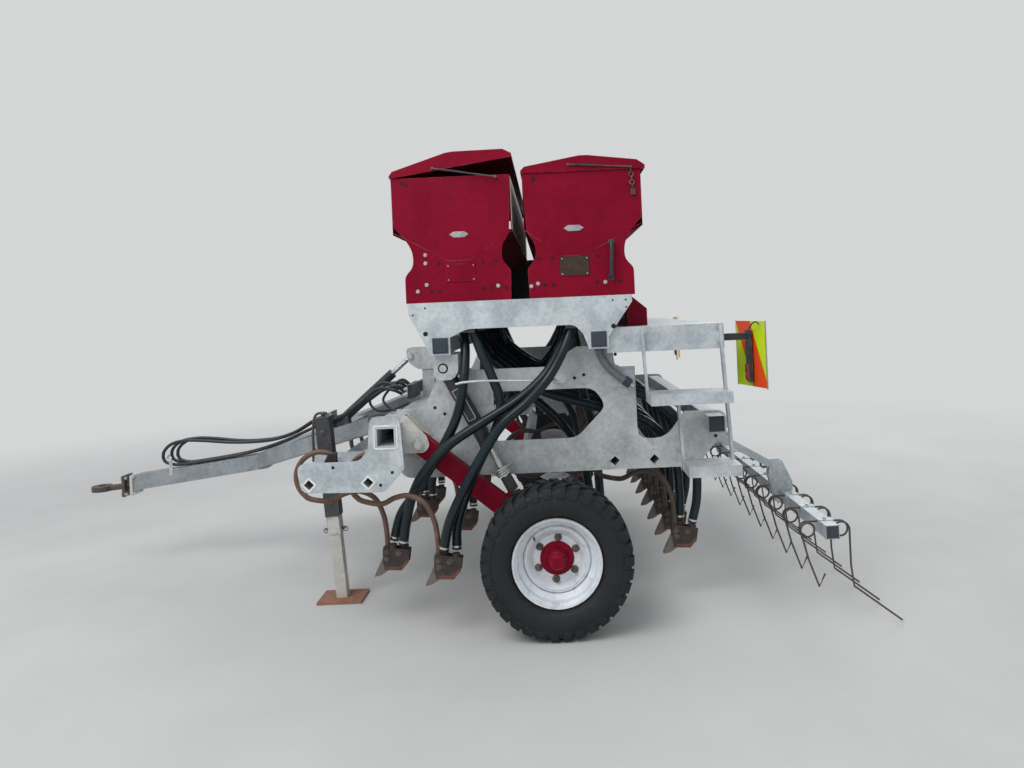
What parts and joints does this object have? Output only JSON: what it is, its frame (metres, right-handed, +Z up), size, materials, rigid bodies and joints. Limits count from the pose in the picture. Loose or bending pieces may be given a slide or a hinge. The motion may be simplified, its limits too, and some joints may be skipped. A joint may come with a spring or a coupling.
{
  "type": "towed seed drill",
  "caption": "Towed seed drill with two long hoppers on a galvanised frame, spring-tine openers fed by hoses, lifting wheels and a rear spring-tine harrow.",
  "frame": {"origin": "on the ground under the middle of the bounding box", "axes": "+X towards the hitch eye, +Y to the machine's left, +Z up"},
  "size_m": [4.7886, 3, 2.4227],
  "materials": {
    "galvanised_steel": "mottled zinc",
    "crimson_paint": "semi-gloss, faded",
    "spring_steel": "rusty",
    "seed_hose": "corrugated, glossy",
    "hydraulic_hose": "satin",
    "black_paint": "satin",
    "plated_steel": "bright",
    "brown_steel": "worn paint and rust",
    "marker_film": "fluorescent with red stripes",
    "rim_paint": "silver paint with rust",
    "tyre": "dusty"
  },
  "bodies": {
    "root": {"main_plate_left": "galvanised_steel", "main_plate_right": "galvanised_steel", "front_plate_left": "galvanised_steel", "front_plate_right": "galvanised_steel", "inner_front_plate_left": "galvanised_steel", "inner_front_plate_right": "galvanised_steel", "cradle_plate_left": "galvanised_steel", "cradle_plate_right": "galvanised_steel", "cradle_beam_front": "galvanised_steel", "cradle_beam_rear": "galvanised_steel", "front_beam": "galvanised_steel", "rear_beam": "galvanised_steel", "headstock": "galvanised_steel", "arm_bracket_left": "galvanised_steel", "arm_bracket_right": "galvanised_steel", "tine_rank_1": "spring_steel", "tine_rank_2": "spring_steel", "tine_rank_3": "spring_steel", "tine_rank_4": "spring_steel", "rear_diamond_bar": "galvanised_steel", "seed_hoses_front": "seed_hose", "seed_hoses_rear": "seed_hose", "hopper_trough_front": "crimson_paint", "hopper_trough_rear": "crimson_paint", "hopper_end_front_left": "crimson_paint", "hopper_end_front_right": "crimson_paint", "hopper_end_rear_left": "crimson_paint", "hopper_end_rear_right": "crimson_paint", "platform": "galvanised_steel", "hopper_apron": "crimson_paint", "ladder": "galvanised_steel", "marker_board_left": "marker_film", "marker_board_right": "marker_film", "jack_tube": "brown_steel"},
    "front_lid": {"front_lid": "crimson_paint"},
    "rear_lid": {"rear_lid": "crimson_paint"},
    "harrow": {"harrow": "galvanised_steel"},
    "jack_leg": {"jack_leg": "brown_steel"},
    "drawbar": {"drawbar": "galvanised_steel", "hydraulic_hose_1": "hydraulic_hose", "hydraulic_hose_2": "hydraulic_hose", "hydraulic_hose_3": "hydraulic_hose"},
    "hitch_eye": {"hitch_eye": "brown_steel"},
    "top_link_barrel": {"top_link_barrel": "black_paint"},
    "top_link_rod": {"top_link_rod": "plated_steel"},
    "wheel_arm_left": {"wheel_arm_left": "crimson_paint"},
    "wheel_left": {"rim_left": "rim_paint", "tyre_left": "tyre"},
    "lift_ram_barrel_left": {"lift_ram_barrel_left": "black_paint"},
    "lift_ram_rod_left": {"lift_ram_rod_left": "plated_steel"},
    "wheel_arm_right": {"wheel_arm_right": "crimson_paint"},
    "wheel_right": {"rim_right": "rim_paint", "tyre_right": "tyre"},
    "lift_ram_barrel_right": {"lift_ram_barrel_right": "black_paint"},
    "lift_ram_rod_right": {"lift_ram_rod_right": "plated_steel"}
  },
  "joints": [
    {"name": "front_lid_hinge", "type": "hinge", "parent": "root", "child": "front_lid", "pos_m": [0.042, 0, 2.295], "axis": [0, 1, 0], "range_deg": [-8, 60]},
    {"name": "rear_lid_hinge", "type": "hinge", "parent": "root", "child": "rear_lid", "pos_m": [-0.622, 0, 2.295], "axis": [0, 1, 0], "range_deg": [0, 60]},
    {"name": "harrow_hinge", "type": "hinge", "parent": "root", "child": "harrow", "pos_m": [-1.637, 0, 0.856], "axis": [0, 1, 0], "range_deg": [0, 40]},
    {"name": "jack_slide", "type": "slide", "parent": "root", "child": "jack_leg", "axis": [0.0698, 0, 0.9976], "range_m": [0, 0.35]},
    {"name": "drawbar_hinge", "type": "hinge", "parent": "root", "child": "drawbar", "pos_m": [0.204, 0, 1], "axis": [0, -1, 0], "range_deg": [-3, 12]},
    {"name": "hitch_swivel", "type": "hinge", "parent": "drawbar", "child": "hitch_eye", "pos_m": [2.104, 0, 0.545], "axis": [1, 0, 0], "range_deg": [-40, 40]},
    {"name": "top_link_hinge", "type": "hinge", "parent": "drawbar", "child": "top_link_barrel", "pos_m": [0.674, 0, 0.93], "axis": [0, 1, 0], "range_deg": [-30, 30]},
    {"name": "top_link_slide", "type": "slide", "parent": "top_link_barrel", "child": "top_link_rod", "axis": [-0.7615, 0, 0.6481], "range_m": [-0.12, 0.12]},
    {"name": "arm_hinge_left", "type": "hinge", "parent": "root", "child": "wheel_arm_left", "pos_m": [-0.039, 1.18, 0.94], "axis": [0, 1, 0], "range_deg": [0, 20]},
    {"name": "wheel_spin_left", "type": "hinge", "parent": "wheel_arm_left", "child": "wheel_left", "pos_m": [-0.726, 1.37, 0.375], "axis": [0, 1, 0], "continuous": true},
    {"name": "ram_hinge_left", "type": "hinge", "parent": "root", "child": "lift_ram_barrel_left", "pos_m": [-0.183, 1.18, 1.322], "axis": [0, 1, 0], "range_deg": [-30, 30]},
    {"name": "ram_slide_left", "type": "slide", "parent": "lift_ram_barrel_left", "child": "lift_ram_rod_left", "axis": [-0.4541, 0, -0.891], "range_m": [-0.26, 0.05]},
    {"name": "arm_hinge_right", "type": "hinge", "parent": "root", "child": "wheel_arm_right", "pos_m": [-0.039, -1.18, 0.94], "axis": [0, 1, 0], "range_deg": [0, 20]},
    {"name": "wheel_spin_right", "type": "hinge", "parent": "wheel_arm_right", "child": "wheel_right", "pos_m": [-0.726, -1.37, 0.375], "axis": [0, 1, 0], "continuous": true},
    {"name": "ram_hinge_right", "type": "hinge", "parent": "root", "child": "lift_ram_barrel_right", "pos_m": [-0.183, -1.18, 1.322], "axis": [0, 1, 0], "range_deg": [-30, 30]},
    {"name": "ram_slide_right", "type": "slide", "parent": "lift_ram_barrel_right", "child": "lift_ram_rod_right", "axis": [-0.4541, 0, -0.891], "range_m": [-0.26, 0.05]}
  ],
  "couplings": [
    {"joint": "top_link_hinge", "follows": "drawbar_hinge", "ratio": 0.33576},
    {"joint": "top_link_slide", "follows": "drawbar_hinge", "m_per_rad": -0.26179},
    {"joint": "ram_hinge_left", "follows": "arm_hinge_left", "ratio": 0.65261},
    {"joint": "ram_slide_left", "follows": "arm_hinge_left", "m_per_rad": -0.3236},
    {"joint": "ram_hinge_right", "follows": "arm_hinge_right", "ratio": 0.65261},
    {"joint": "ram_slide_right", "follows": "arm_hinge_right", "m_per_rad": -0.3236}
  ]
}
